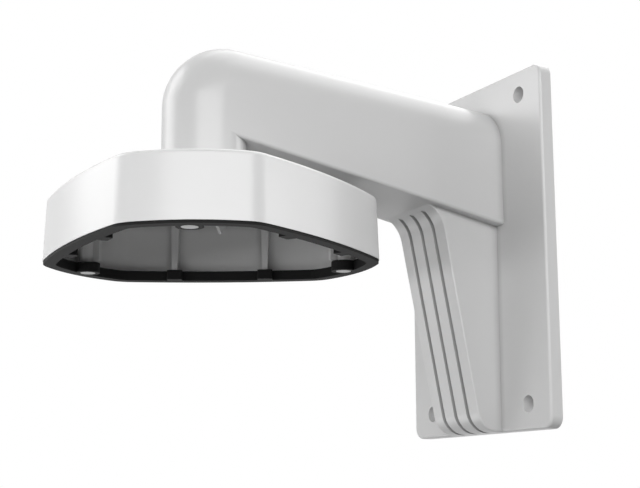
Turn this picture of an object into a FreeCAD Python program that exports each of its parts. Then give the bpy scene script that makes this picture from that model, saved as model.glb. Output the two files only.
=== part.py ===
import FreeCAD, Part
import math
import os

import Sketcher
from FreeCAD import Placement, Rotation, Vector

# Wall bracket for a dome camera: a hollow cast arm with its wall plate and gusset, a three-sided cap
# screwed under the arm's turned-down end, and the seals and fasteners between them.
# Frame: the origin is the centre of the plate's back face, the wall is the plane Y = 0, the arm runs
# along -Y, +Z is up. The bracket is symmetric about X = 0.

doc = FreeCAD.newDocument("camera_wall_bracket")
sizes = doc.addObject("Spreadsheet::Sheet", "sizes")

DRIVING_SIZES = {
    # wall plate
    "plate_width": 120.0,
    "plate_height": 183.0,
    "plate_thick": 7.0,
    "plate_corner": 6.0,
    "plate_edge_round": 1.5,
    "plate_rim": 6.0,
    "plate_recess": 3.0,
    "bolt_inset_across": 17.7,
    "bolt_inset_up": 12.7,
    "bolt_hole": 8.5,
    "bolt_boss": 20.0,
    # arm, given at the wall and at the tube's centre line
    "arm_top_inset": 14.5,
    "arm_floor": 12.4,
    "arm_top_slope": 5.1,
    "arm_floor_slope": 10.8,
    "arm_half_wall": 27.0,
    "arm_half_tube": 22.4,
    "crown_flat": 0.35,
    "arm_edge_round": 1.6,
    "arm_skin": 3.5,
    "elbow_round": 30.0,
    # turned-down tube
    "tube_reach": 160.35,
    "tube_front": 22.65,
    "tube_back": 14.0,
    "tube_side_flat": 2.25,
    "tube_end_block": 14.0,
    "cable_bore": 20.0,
    # gusset under the arm
    "gusset_width": 41.4,
    "gusset_draft": 0.4,
    "gusset_reach": 37.5,
    "gusset_slope": 11.3,
    "gusset_toe_round": 12.0,
    "gusset_blend": 17.0,
    "gusset_edge_round": 0.8,
    "gusset_bite": 0.4,
    "gusset_skin": 4.2,
    "groove_pitch": 10.9,
    "groove_width": 2.7,
    "groove_depth": 2.6,
    "groove_run": 9.5,
    "groove_runout": 1.0,
    "groove_bend": 9.0,
    # cap
    "cap_rim": 11.5,
    "cap_top": 19.4,
    "cap_side_bulge": 327.0,
    "cap_end_reach": 82.9,
    "cap_side_step": 14.2,
    "cap_corner_round": 16.9,
    "cap_draft": 2.0,
    "cap_top_round": 2.0,
    "cap_skin": 2.8,
    "cap_ceiling": 3.0,
    "rib_offset": 23.3,
    "rib_depth": 10.4,
    "rib_foot_width": 2.8,
    "rib_draft": 1.2,
    "boss_setback": 9.1,
    "boss_end_width": 7.45,
    "boss_end": 12.0,
    "boss_draft": 1.5,
    "boss_bore": 3.3,
    "boss_bore_depth": 12.0,
    "boss_web": 2.0,
    "boss_web_reach": 7.8,
    "lug_across": 21.4,
    "lug_in": 16.4,
    "lug_width": 13.0,
    "lug_height": 12.6,
    "lug_thick": 2.5,
    "lug_eye": 4.0,
    # rim gasket
    "gasket_face": 12.9,
    "gasket_inset": 0.3,
    "gasket_band": 6.3,
    "gasket_skirt_top": 8.0,
    "gasket_gap": 0.25,
    "collar_width": 12.0,
    "bulge_width": 7.6,
    "bulge_wall": 1.3,
    "slot_gap": 0.2,
    # joint between the tube and the cap
    "seal_thick": 1.0,
    "seal_inset": 1.0,
    "grommet_lip": 1.7,
    "grommet_flange": 1.5,
    "grommet_wall": 2.5,
    "grommet_gap": 0.1,
    "screw_front_across": 12.0,
    "screw_front_inset": 9.15,
    "screw_back_gap": 5.0,
    "screw_back_inset": 7.0,
    "screw_shank": 4.0,
    "screw_length": 14.0,
    "screw_hole": 4.5,
    "screw_head_width": 8.0,
    "screw_head_height": 2.6,
    "screw_recess_width": 4.6,
    "screw_recess_slot": 0.9,
    "screw_recess_depth": 1.6,
    "tapped_depth": 11.0,
    "washer_bore": 4.3,
    "flat_washer_width": 9.0,
    "flat_washer_thick": 0.8,
    "lock_washer_width": 7.4,
    "lock_washer_thick": 1.0,
    "lock_washer_split": 0.8,
    # plugs in the three tapped bosses
    "plug_head": 0.9,
    "plug_stem_width": 3.2,
    "plug_stem_length": 5.0,
}
for row, (alias, value) in enumerate(DRIVING_SIZES.items(), 1):
    sizes.set(f"A{row}", alias)
    sizes.set(f"B{row}", f"{value:g}")
    sizes.setAlias(f"B{row}", alias)
doc.recompute()

# Places that follow from the driving sizes, as expressions.
TUBE_FOOT = "(sizes.cap_top + sizes.seal_thick)"
CEILING = "(sizes.cap_top - sizes.cap_ceiling)"
ARM_END = "(-sizes.tube_reach - sizes.tube_front)"
TUBE_BACK = "(-sizes.tube_reach + sizes.tube_back)"
PLATE_FOOT = "(-sizes.plate_height / 2)"
ARM_TOP = "(sizes.plate_height / 2 - sizes.arm_top_inset)"
TOP_TILT = "tan(sizes.arm_top_slope * 1 deg)"
FLOOR_TILT = "tan(sizes.arm_floor_slope * 1 deg)"
GUSSET_TILT = "tan(sizes.gusset_slope * 1 deg)"
GROOVE_START = "(-sizes.gusset_reach - sizes.groove_run)"
BOLT_X = "(sizes.plate_width / 2 - sizes.bolt_inset_across)"
BOLT_Z = "(sizes.plate_height / 2 - sizes.bolt_inset_up)"
CAP_SIDE = "(sizes.cap_end_reach - sizes.cap_side_step)"
RIB_INNER = f"({CAP_SIDE} - sizes.rib_depth)"
BOSS_REACH = "(sizes.cap_end_reach - sizes.boss_setback)"
GROMMET_LIP = "(sizes.cable_bore / 2 + sizes.grommet_lip)"
GROMMET_BORE = "(sizes.cable_bore / 2 - sizes.grommet_wall)"


def value(expression):
    """The number that an expression on the sheet gives."""
    return float(sizes.evalExpression(expression))


def arm_top(y, inset="0"):
    return f"({ARM_TOP} - {TOP_TILT} * ({y}) - ({inset}) / cos(sizes.arm_top_slope * 1 deg))"


def arm_floor(y, inset="0"):
    return f"(sizes.arm_floor - {FLOOR_TILT} * ({y}) + ({inset}) / cos(sizes.arm_floor_slope * 1 deg))"


def arm_half(y, inset="0"):
    narrowing = "(sizes.arm_half_wall - sizes.arm_half_tube) / sizes.tube_reach"
    return f"(sizes.arm_half_wall + {narrowing} * ({y}) - ({inset}))"


def arm_round(inset):
    """The crown's rounding, which leaves a narrow flat on top where the arm is narrowest."""
    return f"({arm_half(ARM_END)} - sizes.crown_flat - ({inset}))"


def gusset_front(z, inset="0"):
    return f"(-sizes.gusset_reach - {GUSSET_TILT} * ({z}) + ({inset}) / cos(sizes.gusset_slope * 1 deg))"


def gusset_half(z):
    """Half the gusset's width, full under the arm and drafted towards the plate's foot."""
    drop = f"({arm_floor('-sizes.gusset_reach')} - ({z}))"
    return f"(sizes.gusset_width / 2 - tan(sizes.gusset_draft * 1 deg) * {drop})"


def gusset_root(front_inset, floor_inset):
    """Where the gusset's front line meets the arm's floor line, each moved inwards by its inset."""
    at_origin = arm_floor("0", floor_inset)
    setback = f"(sizes.gusset_reach - ({front_inset}) / cos(sizes.gusset_slope * 1 deg))"
    z = f"(({at_origin} + {FLOOR_TILT} * {setback}) / (1 - {FLOOR_TILT} * {GUSSET_TILT}))"
    return gusset_front(z, front_inset), z


# Small tools for sketches and features.
def new_body(name, y="0", z="0", x="0"):
    body = doc.addObject("PartDesign::Body", name)
    body.Label = name
    body.setExpression("Placement.Base.x", x)
    body.setExpression("Placement.Base.y", y)
    body.setExpression("Placement.Base.z", z)
    return body


def origin_feature(body, role):
    return next(feature for feature in body.Origin.OriginFeatures if feature.Role == role)


def new_sketch(body, name, role="XY_Plane", offset="0"):
    sketch = body.newObject("Sketcher::SketchObject", name)
    sketch.AttachmentSupport = (origin_feature(body, role), [""])
    sketch.MapMode = "FlatFace"
    sketch.setExpression("AttachmentOffset.Base.z", offset)
    return sketch


def fix_point(sketch, geometry, position, x, y):
    """Ties a point of the sketch to its place from the origin."""
    for kind, expression in (("DistanceX", x), ("DistanceY", y)):
        index = sketch.addConstraint(Sketcher.Constraint(kind, -1, 1, geometry, position, value(expression)))
        sketch.setExpression(f"Constraints[{index}]", expression)


def add_circle(sketch, x, y, radius):
    centre = Vector(value(x), value(y), 0)
    circle = sketch.addGeometry(Part.Circle(centre, Vector(0, 0, 1), value(radius)), False)
    fix_point(sketch, circle, 3, x, y)
    index = sketch.addConstraint(Sketcher.Constraint("Radius", circle, value(radius)))
    sketch.setExpression(f"Constraints[{index}]", radius)


def add_outline(sketch, corners):
    """Closed outline of straight lines; a corner is x, y and its rounding, or None for a sharp one."""
    points = [Vector(value(x), value(y), 0) for x, y, _ in corners]
    count = len(corners)
    joints = []
    for k, (x, y, rounding) in enumerate(corners):
        here = points[k]
        if rounding is None:
            joints.append((here, here, None, 0.0))
            continue
        to_last = (points[k - 1] - here).normalize()
        to_next = (points[(k + 1) % count] - here).normalize()
        half_angle = to_last.getAngle(to_next) / 2
        radius = value(rounding)
        setback = radius / math.tan(half_angle)
        centre = here + (to_last + to_next).normalize() * (radius / math.sin(half_angle))
        joints.append((here + to_last * setback, here + to_next * setback, centre, radius))
    lines = []
    for k in range(count):
        line = Part.LineSegment(joints[k][1], joints[(k + 1) % count][0])
        lines.append(sketch.addGeometry(line, False))
    for k, (x, y, rounding) in enumerate(corners):
        before, after = lines[k - 1], lines[k]
        enter, leave, centre, radius = joints[k]
        if rounding is None:
            sketch.addConstraint(Sketcher.Constraint("Coincident", before, 2, after, 1))
            fix_point(sketch, after, 1, x, y)
            continue
        start = math.atan2(enter.y - centre.y, enter.x - centre.x)
        end = math.atan2(leave.y - centre.y, leave.x - centre.x)
        first = 1
        if (end - start) % (2 * math.pi) > math.pi:
            first = 2
            start, end = end, start
        circle = Part.Circle(centre, Vector(0, 0, 1), radius)
        sweep = (end - start) % (2 * math.pi)
        arc = sketch.addGeometry(Part.ArcOfCircle(circle, start, start + sweep), False)
        sketch.addConstraint(Sketcher.Constraint("Tangent", before, 2, arc, first))
        sketch.addConstraint(Sketcher.Constraint("Tangent", arc, 3 - first, after, 1))
        corner = sketch.addGeometry(Part.Point(points[k]), True)
        sketch.addConstraint(Sketcher.Constraint("PointOnObject", corner, 1, before))
        sketch.addConstraint(Sketcher.Constraint("PointOnObject", corner, 1, after))
        fix_point(sketch, corner, 1, x, y)
        index = sketch.addConstraint(Sketcher.Constraint("Radius", arc, radius))
        sketch.setExpression(f"Constraints[{index}]", rounding)


def pad(body, name, sketch, length, both_ways=False, draft=None):
    feature = body.newObject("PartDesign::Pad", name)
    feature.Profile = sketch
    if both_ways:
        feature.SideType = "Symmetric"
    feature.setExpression("Length", length)
    if draft:
        feature.setExpression("TaperAngle", draft)
    doc.recompute()
    return feature


def pocket(body, name, sketch, length=None, along_normal=False, both_ways=False, draft=None):
    """Cuts a sketch out of the body: by its length, or right through both ways where it has none."""
    before = body.Shape.Volume
    feature = body.newObject("PartDesign::Pocket", name)
    feature.Profile = sketch
    feature.Reversed = along_normal
    if length is None:
        feature.Type = "ThroughAll"
        feature.SideType = "Symmetric"
    else:
        if both_ways:
            feature.SideType = "Symmetric"
        feature.setExpression("Length", length)
    if draft:
        feature.setExpression("TaperAngle", draft)
    doc.recompute()
    if feature.Shape.Volume > before - 1e-3:
        raise RuntimeError(f"{name} cuts nothing")
    return feature


def round_edges(body, name, radius, wanted):
    """Rounds those edges of the body's last feature for which wanted(edge, middle point) holds."""
    base = body.Tip
    names = []
    for number, edge in enumerate(base.Shape.Edges, 1):
        if wanted(edge, edge.valueAt((edge.FirstParameter + edge.LastParameter) / 2)):
            names.append(f"Edge{number}")
    feature = body.newObject("PartDesign::Fillet", name)
    feature.Base = (base, names)
    feature.setExpression("Radius", radius)
    doc.recompute()
    return feature


def repeat_round(body, name, originals, count=3):
    """Repeats features evenly about the body's own vertical axis."""
    feature = body.newObject("PartDesign::PolarPattern", name)
    feature.Originals = originals
    feature.Axis = (origin_feature(body, "Z_Axis"), [""])
    feature.Angle = 360
    feature.Occurrences = count
    body.Tip = feature
    doc.recompute()
    return feature


def combine(body, name, tool, kind):
    feature = body.newObject("PartDesign::Boolean", name)
    feature.Type = kind
    feature.addObject(tool)
    body.Tip = feature
    doc.recompute()
    return feature


def near(a, b, tolerance=1e-3):
    return abs(a - b) < tolerance


# Arm: a tapering box, low at the wall and rising outwards, with a rounded back and a rounded elbow.
# The same form, moved inwards by the skin, is the core that leaves its cable duct.
def add_beam(body, tag, back, inset):
    end = f"({ARM_END} + ({inset}))"
    side = new_sketch(body, f"{tag}_side_outline", "YZ_Plane")
    add_outline(side, [
        (back, arm_floor(back, inset), None),
        (end, arm_floor(end, inset), None),
        (end, arm_top(end, inset), f"sizes.elbow_round - ({inset})"),
        (back, arm_top(back, inset), None),
    ])
    pad(body, f"{tag}_beam", side, "sizes.arm_half_wall * 2 + 10", both_ways=True)

    plan = new_sketch(body, f"{tag}_plan_outline")
    behind = f"({back} + 1)"
    ahead = f"({end} - 1)"
    clear = "(sizes.arm_half_wall + 30)"
    for sign in ("", "-"):
        add_outline(plan, [
            (sign + arm_half(behind, inset), behind, None),
            (sign + clear, behind, None),
            (sign + clear, ahead, None),
            (sign + arm_half(ahead, inset), ahead, None),
        ])
    pocket(body, f"{tag}_tapered_sides", plan)

    end_y = value(end)

    def on_side(point):
        return near(abs(point.x), value(arm_half(f"{point.y:.9f}", inset)))

    def crown_edge(edge, middle):
        on_crown = near(middle.z, value(arm_top(f"{middle.y:.9f}", inset)))
        on_elbow = not isinstance(edge.Curve, Part.Line)
        return on_side(middle) and (on_crown or on_elbow or near(middle.y, end_y))

    round_edges(body, f"{tag}_crown_round", arm_round(inset), crown_edge)

    def floor_edge(edge, middle):
        on_floor = near(middle.z, value(arm_floor(f"{middle.y:.9f}", inset)))
        return on_floor and on_side(middle) and isinstance(edge.Curve, Part.Line)

    round_edges(body, f"{tag}_floor_round", "sizes.arm_edge_round", floor_edge)


def add_tube_outline(sketch, inset):
    """Section of the turned-down tube, in plan: a round front as wide as the arm, a flatter back."""
    front = f"({ARM_END} + ({inset}))"
    back = f"({TUBE_BACK} - ({inset}))"
    front_round = arm_round(inset)
    depth = "(sizes.tube_front + sizes.tube_back)"
    back_round = f"({depth} - {arm_round('0')} - sizes.tube_side_flat - ({inset}))"
    add_outline(sketch, [
        (arm_half(front, inset), front, front_round),
        (arm_half(back, inset), back, back_round),
        ("-" + arm_half(back, inset), back, back_round),
        ("-" + arm_half(front, inset), front, front_round),
    ])


SCREW_FRONT_Y = "(sizes.screw_front_inset - sizes.tube_front)"
SCREW_BACK_X = "(sizes.cable_bore / 2 + sizes.screw_back_gap)"
SCREW_BACK_Y = "(sizes.tube_back - sizes.screw_back_inset)"
SCREW_PLACES = [
    ("-sizes.screw_front_across", SCREW_FRONT_Y),
    ("sizes.screw_front_across", SCREW_FRONT_Y),
    (SCREW_BACK_X, SCREW_BACK_Y),
    (f"-{SCREW_BACK_X}", SCREW_BACK_Y),
]


# Arm casting: arm, tube, wall plate and gusset are one aluminium die casting.
arm = new_body("arm_casting")
add_beam(arm, "arm", "0", "0")

tube_plan = new_sketch(arm, "tube_outline", offset=TUBE_FOOT)
add_tube_outline(tube_plan, "0")
tube_height = f"({arm_floor(ARM_END)} + sizes.arm_edge_round + 2 - {TUBE_FOOT})"
pad(arm, "tube", tube_plan, tube_height)

plate_outline = new_sketch(arm, "plate_outline", "XZ_Plane")
add_outline(plate_outline, [
    (f"{across} * sizes.plate_width / 2", f"{up} * sizes.plate_height / 2", "sizes.plate_corner")
    for across, up in ((-1, -1), (1, -1), (1, 1), (-1, 1))
])
pad(arm, "plate", plate_outline, "sizes.plate_thick")


def plate_front_edge(edge, middle):
    inside = abs(middle.x) < value("sizes.arm_half_wall") + 1 and abs(middle.z) < value(arm_top("0")) + 1
    return near(middle.y, -value("sizes.plate_thick")) and not inside


round_edges(arm, "plate_front_round", "sizes.plate_edge_round", plate_front_edge)

# Gusset: a hollow wedge under the arm, flush with the plate's foot, with a rounded toe. Its top sits
# a little inside the arm's floor, so that the blend runs out on the floor.
gusset = new_body("gusset_form")
root_y, root_z = gusset_root("0", "sizes.gusset_bite")
blend_start = "(-sizes.gusset_reach - sizes.gusset_blend * 2.5)"
gusset_side = new_sketch(gusset, "gusset_outline", "YZ_Plane")
add_outline(gusset_side, [
    ("-sizes.plate_thick / 2", PLATE_FOOT, None),
    (gusset_front(PLATE_FOOT), PLATE_FOOT, "sizes.gusset_toe_round"),
    (root_y, root_z, "sizes.gusset_blend"),
    (blend_start, arm_floor(blend_start, "sizes.gusset_bite"), None),
    (blend_start, arm_floor(blend_start, "sizes.arm_skin"), None),
    ("-sizes.plate_thick / 2", arm_floor("0", "sizes.arm_skin"), None),
])
pad(gusset, "gusset", gusset_side, "sizes.gusset_width + 10", both_ways=True)

gusset_sides = new_sketch(gusset, "gusset_side_draft", "XZ_Plane")
above_gusset = f"({arm_floor(blend_start)} + 10)"
below_gusset = f"({PLATE_FOOT} - 10)"
for sign in ("", "-"):
    add_outline(gusset_sides, [
        (sign + gusset_half(below_gusset), below_gusset, None),
        (f"{sign}(sizes.gusset_width / 2 + 20)", below_gusset, None),
        (f"{sign}(sizes.gusset_width / 2 + 20)", above_gusset, None),
        (sign + gusset_half(above_gusset), above_gusset, None),
    ])
pocket(gusset, "gusset_drafted_sides", gusset_sides)


def gusset_front_edge(edge, middle):
    on_front = near(middle.y, value(gusset_front(f"{middle.z:.9f}")))
    return on_front and near(abs(middle.x), value(gusset_half(f"{middle.z:.9f}")))


round_edges(gusset, "gusset_edge_round", "sizes.gusset_edge_round", gusset_front_edge)
combine(arm, "arm_and_gusset", gusset, "Fuse")

# Three grooves run down the gusset's face to the toe. At the top their floor bends out more tightly
# than the blend does, so that they run out on it.
groove_root_y, groove_root_z = gusset_root("sizes.groove_depth", "-sizes.groove_runout")
groove_foot = f"({PLATE_FOOT} + sizes.groove_depth)"
groove_side = new_sketch(arm, "groove_outline", "YZ_Plane", "-sizes.groove_pitch")
add_outline(groove_side, [
    (GROOVE_START, arm_floor(GROOVE_START, "-sizes.groove_runout"), None),
    (groove_root_y, groove_root_z, "sizes.groove_bend"),
    (gusset_front(groove_foot, "sizes.groove_depth"), groove_foot,
     "sizes.gusset_toe_round - sizes.groove_depth"),
    ("-sizes.plate_thick", PLATE_FOOT, None),
    ("-sizes.plate_thick", f"{PLATE_FOOT} - 10", None),
    (f"{GROOVE_START} - 20", f"{PLATE_FOOT} - 10", None),
    (f"{GROOVE_START} - 20", "0", None),
])
groove = pocket(arm, "groove", groove_side, "sizes.groove_width", both_ways=True)
grooves = arm.newObject("PartDesign::LinearPattern", "grooves")
grooves.Originals = [groove]
grooves.Direction = (origin_feature(arm, "X_Axis"), [""])
grooves.setExpression("Length", "sizes.groove_pitch * 2")
grooves.Occurrences = 3
arm.Tip = grooves
doc.recompute()

# Back of the plate: cored out between a rim, four bolt bosses and a frame round the duct.
recess = new_sketch(arm, "back_recess_outline", "XZ_Plane")
rim_across = "(sizes.plate_width / 2 - sizes.plate_rim)"
frame_across = "(sizes.arm_half_wall + 1)"
boss_corner = "(sizes.bolt_boss / 2)"
for sign in ("", "-"):
    add_outline(recess, [
        (f"{sign}{frame_across}", f"-({BOLT_Z} - {boss_corner})", "2"),
        (f"{sign}{rim_across}", f"-({BOLT_Z} - {boss_corner})", "2"),
        (f"{sign}{rim_across}", f"({BOLT_Z} - {boss_corner})", "2"),
        (f"{sign}{frame_across}", f"({BOLT_Z} - {boss_corner})", "2"),
    ])
pocket(arm, "back_recess", recess, "sizes.plate_recess", along_normal=True)

bolt_holes = new_sketch(arm, "bolt_hole_outline", "XZ_Plane")
for across in (-1, 1):
    for up in (-1, 1):
        add_circle(bolt_holes, f"{across} * {BOLT_X}", f"{up} * {BOLT_Z}", "sizes.bolt_hole / 2")
pocket(arm, "bolt_holes", bolt_holes)

tapped = new_sketch(arm, "tapped_hole_outline", offset=TUBE_FOOT)
for x, y in SCREW_PLACES:
    add_circle(tapped, x, f"{y} - sizes.tube_reach", "sizes.screw_shank / 2")
pocket(arm, "tapped_holes", tapped, "sizes.tapped_depth", along_normal=True)

# The core leaves the duct: through the plate, along the arm, down the tube, and up from the gusset.
core = new_body("duct_core")
add_beam(core, "core", "6", "sizes.arm_skin")
core_tube = new_sketch(core, "core_tube_outline", offset=f"{TUBE_FOOT} + sizes.tube_end_block")
add_tube_outline(core_tube, "sizes.arm_skin")
core_tube_height = f"({arm_floor(ARM_END)} + sizes.arm_skin * 3 - {TUBE_FOOT} - sizes.tube_end_block)"
pad(core, "core_tube", core_tube, core_tube_height)
bore = new_sketch(core, "cable_bore_outline", offset=f"{TUBE_FOOT} - 1")
add_circle(bore, "0", "-sizes.tube_reach", "sizes.cable_bore / 2")
pad(core, "cable_bore", bore, "sizes.tube_end_block + 2")
hollow = new_sketch(core, "gusset_hollow_outline", "YZ_Plane")
hollow_foot = f"({PLATE_FOOT} + sizes.gusset_skin)"
hollow_top_y, hollow_top_z = gusset_root("sizes.gusset_skin", "sizes.arm_skin + 2")
add_outline(hollow, [
    ("6", hollow_foot, None),
    (gusset_front(hollow_foot, "sizes.gusset_skin"), hollow_foot,
     "sizes.gusset_toe_round - sizes.gusset_skin"),
    (hollow_top_y, hollow_top_z, None),
    ("6", f"{arm_floor('6')} + sizes.arm_skin + 2", None),
])
pad(core, "gusset_hollow", hollow, f"({gusset_half(PLATE_FOOT)} - sizes.arm_skin) * 2", both_ways=True)
combine(arm, "duct", core, "Cut")


# Cap form: three long, slightly bulged sides and three short ones on one circle, corners rounded.
def add_cap_form(body, tag, inset, bottom, height, draft=None):
    ends = new_sketch(body, f"{tag}_end_circle", offset=bottom)
    add_circle(ends, "0", "0", f"sizes.cap_end_reach - ({inset})")
    pad(body, f"{tag}_disc", ends, height, draft=draft and f"-{draft}")
    side = new_sketch(body, f"{tag}_side_circle", offset=bottom)
    bulge_centre = f"sizes.cap_side_bulge - {CAP_SIDE}"
    add_circle(side, "0", bulge_centre, f"sizes.cap_side_bulge - ({inset})")
    add_circle(side, "0", bulge_centre, "sizes.cap_side_bulge + 60")
    trim = pocket(body, f"{tag}_side", side, height, along_normal=True, draft=draft and f"-{draft}")
    repeat_round(body, f"{tag}_sides", [trim])

    def corner_edge(edge, middle):
        ends_z = [vertex.Z for vertex in edge.Vertexes]
        return len(ends_z) == 2 and abs(ends_z[0] - ends_z[1]) > value(height) / 2

    round_edges(body, f"{tag}_corner_round", f"sizes.cap_corner_round - ({inset})", corner_edge)


# Cap shell: a die-cast cover with ribs, three drafted bosses for the camera and a lanyard lug.
cap = new_body("cap_shell", y="-sizes.tube_reach")
cap_height = "(sizes.cap_top + sizes.cap_rim)"
add_cap_form(cap, "cap", "0", "-sizes.cap_rim", cap_height, "sizes.cap_draft")
round_edges(cap, "cap_top_round", "sizes.cap_top_round",
            lambda edge, middle: all(near(vertex.Z, value("sizes.cap_top")) for vertex in edge.Vertexes))
inside = new_body("cap_inside")
add_cap_form(inside, "inside", "sizes.cap_skin", "-sizes.cap_rim", f"{cap_height} - sizes.cap_ceiling",
             "sizes.cap_draft")
combine(cap, "cap_hollow", inside, "Cut")

rib_plan = new_sketch(cap, "rib_outline", offset="-sizes.cap_rim")
for sign in (-1, 1):
    left = f"({sign} * sizes.rib_offset - sizes.rib_foot_width / 2)"
    right = f"({sign} * sizes.rib_offset + sizes.rib_foot_width / 2)"
    inner_end = f"-{RIB_INNER}"
    wall_end = f"-({CAP_SIDE} - sizes.cap_skin)"
    add_outline(rib_plan, [(left, wall_end, None), (right, wall_end, None),
                           (right, inner_end, None), (left, inner_end, None)])
ribs = pad(cap, "rib_pair", rib_plan, f"{CEILING} + sizes.cap_rim + 0.5", draft="sizes.rib_draft")

boss_x = f"{BOSS_REACH} * cos(-30 deg)"
boss_y = f"{BOSS_REACH} * sin(-30 deg)"
boss_plan = new_sketch(cap, "boss_outline", offset="-sizes.boss_end")
add_circle(boss_plan, boss_x, boss_y, "sizes.boss_end_width / 2")
boss = pad(cap, "boss", boss_plan, f"{CEILING} + sizes.boss_end + 0.5", draft="sizes.boss_draft")
web_plan = new_sketch(cap, "boss_web_outline", offset="-sizes.gasket_skirt_top + 0.3")


def polar(radius, across):
    """A point on the radial line to the first boss, moved across it."""
    return (f"(({radius}) * cos(-30 deg) - ({across}) * sin(-30 deg))",
            f"(({radius}) * sin(-30 deg) + ({across}) * cos(-30 deg))", None)


web_inner = f"{BOSS_REACH} - sizes.boss_web_reach"
web_outer = "sizes.cap_end_reach - sizes.cap_skin"
add_outline(web_plan, [
    polar(web_inner, "-sizes.boss_web / 2"),
    polar(web_outer, "-sizes.boss_web / 2"),
    polar(web_outer, "sizes.boss_web / 2"),
    polar(web_inner, "sizes.boss_web / 2"),
])
web = pad(cap, "boss_web", web_plan, f"{CEILING} + sizes.gasket_skirt_top + 0.2")
repeat_round(cap, "ribs_and_bosses", [ribs, boss, web])

lug_top = f"({CEILING} + 0.5)"
lug_side = new_sketch(cap, "lug_outline", "YZ_Plane", "-sizes.lug_across")
add_outline(lug_side, [
    ("sizes.lug_in - sizes.lug_width / 2", lug_top, None),
    ("sizes.lug_in", f"{CEILING} - sizes.lug_height", "0.6"),
    ("sizes.lug_in + sizes.lug_width / 2", lug_top, None),
])
pad(cap, "lug", lug_side, "sizes.lug_thick", both_ways=True)
lug_eye = new_sketch(cap, "lug_eye_outline", "YZ_Plane", "-sizes.lug_across")
add_circle(lug_eye, "sizes.lug_in", f"{CEILING} - sizes.lug_height * 0.3", "sizes.lug_eye / 2")
pocket(cap, "lug_eye", lug_eye, "sizes.lug_thick + 2", both_ways=True)

boss_bore = new_sketch(cap, "boss_bore_outline", offset="-sizes.boss_end")
for turn in (-30, 90, 210):
    add_circle(boss_bore, f"{BOSS_REACH} * cos({turn} deg)", f"{BOSS_REACH} * sin({turn} deg)",
               "sizes.boss_bore / 2")
pocket(cap, "boss_bores", boss_bore, "sizes.boss_bore_depth", along_normal=True)

ceiling_holes = new_sketch(cap, "ceiling_hole_outline", offset=CEILING)
add_circle(ceiling_holes, "0", "0", "sizes.cable_bore / 2")
for x, y in SCREW_PLACES:
    add_circle(ceiling_holes, x, y, "sizes.screw_hole / 2")
pocket(cap, "ceiling_holes", ceiling_holes, "sizes.cap_ceiling + 2", along_normal=True)

# Rim gasket: moulded rubber over the cap's rim, with a skirt inside, collars and rib pockets.
gasket = new_body("rim_gasket", y="-sizes.tube_reach")
skirt_base = "-sizes.cap_rim"
add_cap_form(gasket, "flange", "sizes.gasket_inset", "-sizes.gasket_face",
             "sizes.gasket_face - sizes.cap_rim")
skirt = new_body("gasket_skirt")
add_cap_form(skirt, "skirt", "sizes.cap_skin + sizes.gasket_gap", skirt_base,
             "sizes.cap_rim - sizes.gasket_skirt_top")
combine(gasket, "flange_and_skirt", skirt, "Fuse")
opening = new_body("gasket_opening")
add_cap_form(opening, "opening", "sizes.gasket_band", "-sizes.gasket_face", "sizes.gasket_face")
combine(gasket, "gasket_band", opening, "Cut")

gasket_depth = "(sizes.gasket_face - sizes.gasket_skirt_top)"
collar_plan = new_sketch(gasket, "collar_outline", offset="-sizes.gasket_face")
add_circle(collar_plan, boss_x, boss_y, "sizes.collar_width / 2")
collar = pad(gasket, "collar", collar_plan, gasket_depth)
bulge_plan = new_sketch(gasket, "bulge_outline", offset="-sizes.gasket_face")
bulge_inner = f"-({RIB_INNER} - sizes.bulge_wall)"
bulge_outer = f"-({CAP_SIDE} - sizes.gasket_band + 1)"
for sign in (-1, 1):
    left = f"({sign} * sizes.rib_offset - sizes.bulge_width / 2)"
    right = f"({sign} * sizes.rib_offset + sizes.bulge_width / 2)"
    add_outline(bulge_plan, [(left, bulge_outer, None), (right, bulge_outer, None),
                             (right, bulge_inner, "1"), (left, bulge_inner, "1")])
bulges = pad(gasket, "bulge_pair", bulge_plan, gasket_depth)
repeat_round(gasket, "collars_and_bulges", [collar, bulges])

collar_hole = new_sketch(gasket, "collar_hole_outline", offset="-sizes.gasket_face")
add_circle(collar_hole, boss_x, boss_y, "sizes.boss_end_width / 2 + sizes.slot_gap")
collar_cut = pocket(gasket, "collar_hole", collar_hole, gasket_depth, along_normal=True)
slot_plan = new_sketch(gasket, "rib_slot_outline", offset="-sizes.cap_rim")
slot_inner = f"-({RIB_INNER} - sizes.slot_gap)"
slot_outer = f"-({CAP_SIDE} + 2)"
for sign in (-1, 1):
    left = f"({sign} * sizes.rib_offset - sizes.rib_foot_width / 2 - sizes.slot_gap)"
    right = f"({sign} * sizes.rib_offset + sizes.rib_foot_width / 2 + sizes.slot_gap)"
    add_outline(slot_plan, [(left, slot_outer, None), (right, slot_outer, None),
                            (right, slot_inner, None), (left, slot_inner, None)])
slot_depth = "sizes.cap_rim - sizes.gasket_skirt_top"
slot_cut = pocket(gasket, "rib_slot_pair", slot_plan, slot_depth, along_normal=True)
repeat_round(gasket, "collar_holes_and_slots", [collar_cut, slot_cut])

# Tube seal: flat rubber between the tube's foot and the cap.
seal = new_body("tube_seal", z="sizes.cap_top")
seal_plan = new_sketch(seal, "seal_outline")
add_tube_outline(seal_plan, "sizes.seal_inset")
add_circle(seal_plan, "0", "-sizes.tube_reach", f"{GROMMET_LIP} + sizes.grommet_gap * 3")
for x, y in SCREW_PLACES:
    add_circle(seal_plan, x, f"{y} - sizes.tube_reach", "sizes.screw_hole / 2")
pad(seal, "seal", seal_plan, "sizes.seal_thick")

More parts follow.
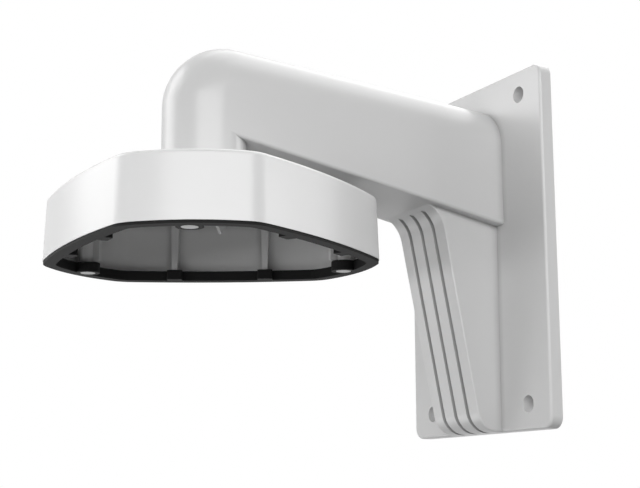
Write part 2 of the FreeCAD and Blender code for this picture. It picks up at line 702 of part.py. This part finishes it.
# Cable grommet: rubber, gripped in the ceiling's hole, its upper lip inside the seal.
grommet = new_body("cable_grommet", y="-sizes.tube_reach", z=CEILING)
grommet_side = new_sketch(grommet, "grommet_outline", "XZ_Plane")
neck = "(sizes.cable_bore / 2)"
lip_top = "(sizes.cap_ceiling + sizes.seal_thick - sizes.grommet_gap)"
add_outline(grommet_side, [
    (GROMMET_BORE, "-sizes.grommet_flange", None),
    (GROMMET_LIP, "-sizes.grommet_flange", "0.6"),
    (GROMMET_LIP, "0", None),
    (neck, "0", None),
    (neck, "sizes.cap_ceiling", None),
    (GROMMET_LIP, "sizes.cap_ceiling", None),
    (f"{GROMMET_LIP} - 0.5", lip_top, None),
    (GROMMET_BORE, lip_top, None),
])
turned = grommet.newObject("PartDesign::Revolution", "grommet")
turned.Profile = grommet_side
turned.ReferenceAxis = (grommet_side, ["V_Axis"])
turned.Angle = 360
doc.recompute()

# Cap screws: four pan heads with a lock washer and a flat washer each, driven up into the tube.
for number, (x, y) in enumerate(SCREW_PLACES, 1):
    place = {"x": x, "y": f"{y} - sizes.tube_reach"}
    flat_seat = f"{CEILING} - sizes.flat_washer_thick"
    lock_seat = f"{flat_seat} - sizes.lock_washer_thick"

    flat = new_body(f"flat_washer_{number}", z=flat_seat, **place)
    ring = new_sketch(flat, f"flat_ring_{number}")
    add_circle(ring, "0", "0", "sizes.flat_washer_width / 2")
    add_circle(ring, "0", "0", "sizes.washer_bore / 2")
    pad(flat, f"flat_{number}", ring, "sizes.flat_washer_thick")

    lock = new_body(f"lock_washer_{number}", z=lock_seat, **place)
    ring = new_sketch(lock, f"lock_ring_{number}")
    add_circle(ring, "0", "0", "sizes.lock_washer_width / 2")
    add_circle(ring, "0", "0", "sizes.washer_bore / 2")
    pad(lock, f"lock_{number}", ring, "sizes.lock_washer_thick")
    split = new_sketch(lock, f"lock_split_outline_{number}", "XZ_Plane")
    slant = "sizes.lock_washer_thick / 2"
    gap = "sizes.lock_washer_split / 2"
    add_outline(split, [
        (f"-{slant} - {gap}", "-0.1", None),
        (f"-{slant} + {gap}", "-0.1", None),
        (f"{slant} + {gap}", "sizes.lock_washer_thick + 0.1", None),
        (f"{slant} - {gap}", "sizes.lock_washer_thick + 0.1", None),
    ])
    pocket(lock, f"lock_split_{number}", split, "sizes.lock_washer_width", along_normal=True)

    screw = new_body(f"cap_screw_{number}", z=lock_seat, **place)
    shank = new_sketch(screw, f"shank_outline_{number}")
    add_circle(shank, "0", "0", "sizes.screw_shank / 2")
    pad(screw, f"shank_{number}", shank, "sizes.screw_length")
    head = new_sketch(screw, f"head_outline_{number}", offset="-sizes.screw_head_height")
    add_circle(head, "0", "0", "sizes.screw_head_width / 2")
    pad(screw, f"head_{number}", head, "sizes.screw_head_height")
    round_edges(screw, f"head_round_{number}", "sizes.screw_head_height * 0.45",
                lambda edge, middle: near(middle.z, -value("sizes.screw_head_height")) and edge.Closed)
    recess_cross = new_sketch(screw, f"recess_outline_{number}", offset="-sizes.screw_head_height")
    arm_end = "(sizes.screw_recess_width / 2)"
    arm_side = "(sizes.screw_recess_slot / 2)"
    corners = [(arm_side, arm_end), (arm_side, arm_side), (arm_end, arm_side),
               (arm_end, f"-{arm_side}"), (arm_side, f"-{arm_side}"), (arm_side, f"-{arm_end}"),
               (f"-{arm_side}", f"-{arm_end}"), (f"-{arm_side}", f"-{arm_side}"),
               (f"-{arm_end}", f"-{arm_side}"), (f"-{arm_end}", arm_side),
               (f"-{arm_side}", arm_side), (f"-{arm_side}", arm_end)]
    add_outline(recess_cross, [(cx, cy, None) for cx, cy in corners])
    pocket(screw, f"recess_{number}", recess_cross, "sizes.screw_recess_depth", along_normal=True)

# Boss plugs: plain plastic plugs that close the three tapped bosses until a camera is fitted.
for number, turn in enumerate((-30, 90, 210), 1):
    plug = new_body(f"boss_plug_{number}", x=f"{BOSS_REACH} * cos({turn} deg)",
                    y=f"{BOSS_REACH} * sin({turn} deg) - sizes.tube_reach", z="-sizes.boss_end")
    head = new_sketch(plug, f"plug_head_outline_{number}", offset="-sizes.plug_head")
    add_circle(head, "0", "0", "sizes.boss_end_width / 2")
    pad(plug, f"plug_head_{number}", head, "sizes.plug_head")
    stem = new_sketch(plug, f"plug_stem_outline_{number}")
    add_circle(stem, "0", "0", "sizes.plug_stem_width / 2")
    pad(plug, f"plug_stem_{number}", stem, "sizes.plug_stem_length")

doc.recompute()

NODES = ["arm_casting", "cap_shell", "rim_gasket", "tube_seal", "cable_grommet"]
for number in range(1, 5):
    NODES += [f"cap_screw_{number}", f"lock_washer_{number}", f"flat_washer_{number}"]
NODES += [f"boss_plug_{number}" for number in range(1, 4)]

for item in doc.Objects:
    if {"Invalid", "Error"} & set(item.State):
        raise RuntimeError(f"{item.Name} did not build: {item.State}")
for name in NODES:
    shape = doc.getObject(name).Shape
    if shape.isNull() or not shape.isValid() or len(shape.Solids) != 1:
        raise RuntimeError(f"{name} is not one valid solid")

os.makedirs("parts", exist_ok=True)
for name in NODES:
    doc.getObject(name).Shape.exportStep(f"parts/{name}.step")
    print(f"{name}: {doc.getObject(name).Shape.Volume:.1f} mm3")
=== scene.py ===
import math

import bmesh
import bpy
from mathutils import Euler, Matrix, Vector


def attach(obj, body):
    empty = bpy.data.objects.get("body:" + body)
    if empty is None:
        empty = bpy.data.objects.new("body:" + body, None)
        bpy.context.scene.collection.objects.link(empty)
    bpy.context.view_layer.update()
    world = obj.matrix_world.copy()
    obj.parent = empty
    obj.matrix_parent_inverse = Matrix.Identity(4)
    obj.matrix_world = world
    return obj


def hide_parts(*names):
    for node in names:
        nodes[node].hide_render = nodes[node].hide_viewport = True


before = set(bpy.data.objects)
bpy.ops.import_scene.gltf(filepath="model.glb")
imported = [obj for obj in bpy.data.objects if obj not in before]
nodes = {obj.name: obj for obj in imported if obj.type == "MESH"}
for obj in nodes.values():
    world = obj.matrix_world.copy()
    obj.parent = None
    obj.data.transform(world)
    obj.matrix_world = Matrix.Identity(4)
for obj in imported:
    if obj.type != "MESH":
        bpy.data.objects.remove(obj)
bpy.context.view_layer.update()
scene = bpy.context.scene
scene.view_settings.view_transform = "Standard"

# Camera: it stands low to the bracket's right front and looks a little up at it, so that the cap's
# open underside shows. Place, turn and lens follow the photograph's perspective.
CAMERA_PLACE = (0.57822, -0.41761, -0.12899)  # metres
CAMERA_TURN = (101.0436, 0.1908, 61.2449)  # degrees
SENSOR_WIDTH = 36.0  # mm
LENS = 76.355  # mm
SIGHT = 50.0  # metres

eye = bpy.data.cameras.new("eye")
eye.sensor_width = SENSOR_WIDTH
eye.lens = LENS
eye.clip_end = SIGHT
camera = bpy.data.objects.new("camera", eye)
camera.location = CAMERA_PLACE
camera.rotation_euler = Euler([math.radians(angle) for angle in CAMERA_TURN])
scene.collection.objects.link(camera)
scene.camera = camera

# Studio surroundings: plain white all round. Looked at directly, or mirrored in gloss, they are full
# white, while the light that they throw on the bracket is faint and leaves the shading to the boxes.
SURROUND_STRENGTH = 0.05


def linear(code):
    """The linear colour of an sRGB hex value."""
    parts = [int(code[k:k + 2], 16) / 255 for k in (0, 2, 4)]
    return [p / 12.92 if p <= 0.04045 else ((p + 0.055) / 1.055) ** 2.4 for p in parts] + [1.0]


def add(tree, kind, settings=None, links=None):
    """Adds a shader node: settings by attribute or input, links from (node, output) to an input."""
    node = tree.nodes.new(kind)
    for key, value in (settings or {}).items():
        if isinstance(key, str) and hasattr(node, key):
            setattr(node, key, value)
        else:
            node.inputs[key].default_value = value
    for key, (source, output) in (links or {}).items():
        tree.links.new(source.outputs[output], node.inputs[key])
    return node


def seen_directly(tree):
    """1 where the camera, a bright face or glass looks straight at the studio, else 0."""
    path = add(tree, "ShaderNodeLightPath")
    seen = add(tree, "ShaderNodeMath", {"operation": "MAXIMUM"},
               {0: (path, "Is Camera Ray"), 1: (path, "Is Transmission Ray")})
    return add(tree, "ShaderNodeMath", {"operation": "MAXIMUM"},
               {0: (seen, 0), 1: (path, "Is Glossy Ray")})


world = bpy.data.worlds.new("studio")
world.use_nodes = True
scene.world = world
sky = world.node_tree
sky.nodes.clear()
surround = add(sky, "ShaderNodeBackground",
               {"Color": linear("FFFFFF"), "Strength": SURROUND_STRENGTH})
backdrop = add(sky, "ShaderNodeBackground", {"Color": linear("FFFFFF"), "Strength": 1.0})
white_round = add(sky, "ShaderNodeMixShader", {},
                  {0: (seen_directly(sky), 0), 1: (surround, 0), 2: (backdrop, 0)})
add(sky, "ShaderNodeOutputWorld", {}, {"Surface": (white_round, 0)})

# Studio floor: a sheet of matt paper that lies far below the bracket, so that the views from below
# stand above it too. Its grey throws back little light, and seen directly it is white.
FLOOR_MIDDLE = (0.0, -0.1, -0.9)  # metres
FLOOR_REACH = 3.0  # metres from the middle to each side
SHADOW_CORE = 0.5  # metres from the middle; inside this the bracket's shadow is at its darkest
SHADOW_RIM = 1.6  # metres from the middle; past this the paper is plain white
CORE_GLOW = 0.6  # the glowing share of the white inside the core


def new_material(name):
    """A material with an empty node tree."""
    material = bpy.data.materials.new(name)
    material.use_nodes = True
    material.node_tree.nodes.clear()
    return material


floor_mesh = bpy.data.meshes.new("studio_floor")
sheet_form = bmesh.new()
bmesh.ops.create_grid(sheet_form, x_segments=1, y_segments=1, size=FLOOR_REACH)
bmesh.ops.translate(sheet_form, verts=sheet_form.verts, vec=FLOOR_MIDDLE)
sheet_form.to_mesh(floor_mesh)
sheet_form.free()
floor = bpy.data.objects.new("studio_floor", floor_mesh)
scene.collection.objects.link(floor)

# Uncoated paper has no gloss. The seen side mixes lit white paper, which takes the shadow, with a
# plain white glow that grows outwards, so that the sheet runs into the backdrop without an edge.
paper = new_material("white_paper_floor")
paper_tree = paper.node_tree
grey_sheet = add(paper_tree, "ShaderNodeBsdfDiffuse", {"Color": linear("5C5C5C")})
spot = add(paper_tree, "ShaderNodeTexCoord")
from_middle = add(paper_tree, "ShaderNodeVectorMath", {"operation": "DISTANCE", 1: FLOOR_MIDDLE},
                  {0: (spot, "Object")})
whiteness = add(paper_tree, "ShaderNodeMapRange",
                {"From Min": SHADOW_CORE, "From Max": SHADOW_RIM, "To Min": CORE_GLOW, "To Max": 1.0},
                {"Value": (from_middle, "Value")})
glow = add(paper_tree, "ShaderNodeEmission", {"Color": linear("FFFFFF"), "Strength": 1.0})
lit_sheet = add(paper_tree, "ShaderNodeBsdfDiffuse", {"Color": linear("FFFFFF")})
seen_sheet = add(paper_tree, "ShaderNodeMixShader", {},
                 {0: (whiteness, 0), 1: (lit_sheet, 0), 2: (glow, 0)})
whole_sheet = add(paper_tree, "ShaderNodeMixShader", {},
                  {0: (seen_directly(paper_tree), 0), 1: (grey_sheet, 0), 2: (seen_sheet, 0)})
add(paper_tree, "ShaderNodeOutputMaterial", {}, {"Surface": (whole_sheet, 0)})
floor_mesh.materials.append(paper)

# Soft boxes: cloth-fronted lamps that stand round the bracket and face its middle. The compass angle
# counts from +X towards +Y, so that the room is at -90 and the wall's far side at 90 degrees.
MIDDLE = Vector((0.0, -0.11, 0.0))  # metres
SOFT_BOXES = [  # name, compass angle, height angle, distance, width, height, watts
    ("key_box", -136, 30, 1.4, 0.9, 1.0, 9.2),  # the elbow, the cap's front and the plate's face
    ("camera_box", -20, 16, 1.4, 1.8, 0.6, 17.0),  # the sides of the arm, the cap and the gusset
    ("back_top_box", 105, 62, 1.4, 1.6, 1.6, 15.5),  # the soft light along the arm's crown
    ("wall_side_box", 62, 10, 1.4, 0.6, 0.6, 4.5),  # the plate's edge and the arm's side by the wall
    ("low_box", -80, -5, 1.2, 1.0, 0.25, 4.5),  # the cap's front and the gusset's foot
    ("left_low_box", -138, -30, 1.2, 0.8, 0.5, 3.2),  # the gusset's toe under the arm
    ("back_box", 100, 8, 1.4, 1.0, 0.8, 6.0),  # the plate's back and the cap's wall end
    ("under_box", -28, -50, 1.0, 0.8, 0.6, 1.8),  # the cap's inside
]
for name, compass, height, distance, wide, tall, watts in SOFT_BOXES:
    lamp = bpy.data.lights.new(name, "AREA")
    lamp.shape = "RECTANGLE"
    lamp.size = wide
    lamp.size_y = tall
    lamp.energy = watts
    box = bpy.data.objects.new(name, lamp)
    turn, rise = math.radians(compass), math.radians(height)
    outward = Vector((math.cos(turn) * math.cos(rise), math.sin(turn) * math.cos(rise), math.sin(rise)))
    box.location = MIDDLE + outward * distance
    box.rotation_euler = outward.to_track_quat("Z", "Y").to_euler()
    scene.collection.objects.link(box)

# Arm casting: the hollow arm, the turned-down tube, the wall plate and the gusset are one aluminium
# die casting, trimmed, blasted and powder coated white all over. Four bolts hold it to the wall.
WELD = 1e-6  # metres; the solids come as loose triangles whose corners lie this close
SHARP_EDGE = 28.0  # degrees between faces; edges over this stay crisp
POWDER_CLOUD = 36.0  # mm
POWDER_FLOW = 11.0  # mm
POWDER_PEEL = 0.7  # mm
PEEL_SHARE = 0.25  # of the flow's height
POWDER_RELIEF = 0.0002  # metres
POWDER_ROUGHNESS = (0.28, 0.32)
PAINTED_SHADE_REACH = 0.004  # metres; painted shade greys the paint where another wall is nearer than this


def finished_copy(name, node):
    """The node's shape with its loose triangles joined and its curved faces shaded round."""
    mesh = nodes[node].data.copy()
    mesh.materials.clear()
    form = bmesh.new()
    form.from_mesh(mesh)
    bmesh.ops.remove_doubles(form, verts=form.verts, dist=WELD)
    for face in form.faces:
        face.smooth = True
    form.to_mesh(mesh)
    form.free()
    kept_normals = mesh.attributes.get("custom_normal")
    if kept_normals:
        mesh.attributes.remove(kept_normals)
    mesh.set_sharp_from_angle(angle=math.radians(SHARP_EDGE))
    piece = bpy.data.objects.new(name, mesh)
    scene.collection.objects.link(piece)
    shading = piece.modifiers.new("even_shading", "WEIGHTED_NORMAL")
    shading.keep_sharp = True
    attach(piece, "root")
    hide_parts(node)
    return piece


def patches(millimetres):
    """The noise scale at which one patch is this many millimetres across."""
    return 1000.0 / millimetres


def powder_coat(name, colour, shade, recess_shade):
    """White polyester powder, sprayed on a blasted casting and melted into a satin skin.

    The eye sees soft, even highlights with a faint orange peel of 0.7 mm on flow waves of 11 mm, and
    clouds of 36 mm, from colour to shade, that are only just there. Grooves and inner corners are
    greyed towards the last tone given, as painted shade.
    """
    material = new_material(name)
    tree = material.node_tree
    place = add(tree, "ShaderNodeTexCoord")
    cloud = add(tree, "ShaderNodeTexNoise", {"Scale": patches(POWDER_CLOUD), "Detail": 2.0},
                {"Vector": (place, "Object")})
    tone = add(tree, "ShaderNodeMix", {"data_type": "RGBA", 6: linear(colour), 7: linear(shade)},
               {0: (cloud, "Fac")})
    # Painted shade: an occlusion mask greys the colour in grooves, inner corners and near other walls.
    recess = add(tree, "ShaderNodeAmbientOcclusion",
                 {"samples": 8, "only_local": True, "Distance": PAINTED_SHADE_REACH})
    shaded_tone = add(tree, "ShaderNodeMix", {"data_type": "RGBA", 6: linear(recess_shade)},
                {0: (recess, "AO"), 7: (tone, 2)})
    peel = add(tree, "ShaderNodeTexNoise", {"Scale": patches(POWDER_PEEL), "Detail": 1.0},
               {"Vector": (place, "Object")})
    flow = add(tree, "ShaderNodeTexNoise", {"Scale": patches(POWDER_FLOW), "Detail": 1.0},
               {"Vector": (place, "Object")})
    heights = add(tree, "ShaderNodeMath", {"operation": "MULTIPLY_ADD", 1: PEEL_SHARE},
                  {0: (peel, "Fac"), 2: (flow, "Fac")})
    bump = add(tree, "ShaderNodeBump", {"Strength": 0.10, "Distance": POWDER_RELIEF},
               {"Height": (heights, 0)})
    smoothest, roughest = POWDER_ROUGHNESS
    gloss = add(tree, "ShaderNodeMapRange", {"To Min": smoothest, "To Max": roughest},
                {"Value": (cloud, "Fac")})
    paint = add(tree, "ShaderNodeBsdfPrincipled", {"IOR": 1.5},
                {"Base Color": (shaded_tone, 2), "Roughness": (gloss, 0), "Normal": (bump, 0)})
    add(tree, "ShaderNodeOutputMaterial", {}, {"Surface": (paint, 0)})
    return material


casting = finished_copy("painted_arm_casting", "arm_casting")
# The last grey is the painted shade in the arm's grooves and inner corners.
casting.data.materials.append(powder_coat("powder_coated_casting", "C3C3C3", "BFBFBF", "989898"))

# Cap shell: a second aluminium die casting, drafted inside and out, with ribs, three bosses and a
# lanyard lug. Four screws hold it up under the tube. Its coat is a paler white than the arm's.
cap = finished_copy("painted_cap", "cap_shell")
# The last grey is the painted shade on the cap's inner walls, ribs and corners.
cap.data.materials.append(powder_coat("powder_coated_cap", "D1D1D1", "CDCDCD", "A2A2A2"))

# Rim gasket: one black rubber moulding, pressed over the cap's rim, ribs and bosses, so that the cap
# closes tight on the camera that is screwed up to it.
RUBBER_CLOUD = 17.0  # mm
RUBBER_GRAIN = 0.45  # mm; a moulded grain is nearer 0.1 mm and is drawn coarser so that it shows
GRAIN_RELIEF = 0.0001  # metres


def rubber(name, colour, grey):
    """EPDM rubber with the fine grain of its spark-eroded mould or of the press's cloth.

    The eye sees a deep, dull black with almost no highlight, and clouds of 17 mm, from colour to
    grey, where the rubber's wax has bloomed.
    """
    material = new_material(name)
    tree = material.node_tree
    place = add(tree, "ShaderNodeTexCoord")
    bloom = add(tree, "ShaderNodeTexNoise", {"Scale": patches(RUBBER_CLOUD), "Detail": 3.0},
                {"Vector": (place, "Object")})
    tone = add(tree, "ShaderNodeMix", {"data_type": "RGBA", 6: linear(colour), 7: linear(grey)},
               {0: (bloom, "Fac")})
    grain = add(tree, "ShaderNodeTexNoise", {"Scale": patches(RUBBER_GRAIN), "Detail": 1.0},
                {"Vector": (place, "Object")})
    bump = add(tree, "ShaderNodeBump", {"Strength": 0.25, "Distance": GRAIN_RELIEF},
               {"Height": (grain, "Fac")})
    skin = add(tree, "ShaderNodeBsdfPrincipled",
               {"IOR": 1.5, "Roughness": 0.7, "Specular IOR Level": 0.15},
               {"Base Color": (tone, 2), "Normal": (bump, 0)})
    add(tree, "ShaderNodeOutputMaterial", {}, {"Surface": (skin, 0)})
    return material


gasket = finished_copy("moulded_rim_gasket", "rim_gasket")
gasket.data.materials.append(rubber("black_moulded_rubber", "0C0C0C", "141414"))

# Tube seal: a flat ring punched from sheet rubber and clamped between the tube's foot and the cap. A
# sheet's face is a little greyer than a moulding's.
seal = finished_copy("cut_tube_seal", "tube_seal")
seal.data.materials.append(rubber("flat_sheet_rubber", "141414", "1C1C1C"))

# Cable grommet: a soft rubber ring with a lip on each side, moulded and pushed into the hole in the
# cap's ceiling, where it keeps the edge off the camera's cable.
grommet = finished_copy("moulded_grommet", "cable_grommet")
grommet.data.materials.append(rubber("soft_grommet_rubber", "101010", "181818"))

# Cap screws: four M4 pan heads with cross recesses, cold headed from steel wire and zinc plated. They
# go up through the cap's ceiling into the tube's foot.
ZINC_CLOUD = 4.0  # mm
ZINC_ROUGHNESS = (0.26, 0.38)
CAP_SCREWS = range(1, 5)


def zinc_plate(name, colour, bright):
    """Bright zinc, plated in a barrel and passivated clear.

    The eye sees a soft silver shine that changes in patches of 4 mm, from colour to bright and from
    smoother to rougher, where the parts rubbed on each other in the barrel.
    """
    material = new_material(name)
    tree = material.node_tree
    place = add(tree, "ShaderNodeTexCoord")
    rubbed = add(tree, "ShaderNodeTexNoise", {"Scale": patches(ZINC_CLOUD), "Detail": 3.0},
                 {"Vector": (place, "Object")})
    tone = add(tree, "ShaderNodeMix", {"data_type": "RGBA", 6: linear(colour), 7: linear(bright)},
               {0: (rubbed, "Fac")})
    smoothest, roughest = ZINC_ROUGHNESS
    gloss = add(tree, "ShaderNodeMapRange", {"To Min": smoothest, "To Max": roughest},
                {"Value": (rubbed, "Fac")})
    metal = add(tree, "ShaderNodeBsdfPrincipled", {"Metallic": 1.0},
                {"Base Color": (tone, 2), "Roughness": (gloss, 0)})
    add(tree, "ShaderNodeOutputMaterial", {}, {"Surface": (metal, 0)})
    return material


screw_zinc = zinc_plate("zinc_plated_screw", "B8B8B6", "C6C6C4")
for number in CAP_SCREWS:
    screw = finished_copy(f"pan_head_screw_{number}", f"cap_screw_{number}")
    screw.data.materials.append(screw_zinc)

# Washers: under each screw's head a split spring washer, coiled from square wire, and a flat washer
# punched from strip. Both are steel in the same zinc, which lies duller on them than on the screws.
washer_zinc = zinc_plate("zinc_plated_washer", "AFAFAD", "C2C2C0")
for number in CAP_SCREWS:
    lock = finished_copy(f"split_washer_{number}", f"lock_washer_{number}")
    lock.data.materials.append(washer_zinc)
    flat = finished_copy(f"plain_washer_{number}", f"flat_washer_{number}")
    flat.data.materials.append(washer_zinc)

# Boss plugs: small round plugs of pale polypropylene, injection moulded and pressed into the ends of
# the three tapped bosses, where they keep paint and dirt out until a camera goes on.
PLUG_FLOW = 3.3  # mm
BOSS_PLUGS = range(1, 4)

# Moulded polypropylene looks milky and half matt, with slightly paler patches where it flowed.
plug_plastic = new_material("moulded_polypropylene")
plug_tree = plug_plastic.node_tree
plug_place = add(plug_tree, "ShaderNodeTexCoord")
plug_flow = add(plug_tree, "ShaderNodeTexNoise", {"Scale": patches(PLUG_FLOW), "Detail": 2.0},
                {"Vector": (plug_place, "Object")})
plug_tone = add(plug_tree, "ShaderNodeMix",
                {"data_type": "RGBA", 6: linear("D8D8D8"), 7: linear("E0E0E0")}, {0: (plug_flow, "Fac")})
plug_face = add(plug_tree, "ShaderNodeBsdfPrincipled", {"IOR": 1.49, "Roughness": 0.45},
                {"Base Color": (plug_tone, 2)})
add(plug_tree, "ShaderNodeOutputMaterial", {}, {"Surface": (plug_face, 0)})
for number in BOSS_PLUGS:
    plug = finished_copy(f"moulded_plug_{number}", f"boss_plug_{number}")
    plug.data.materials.append(plug_plastic)
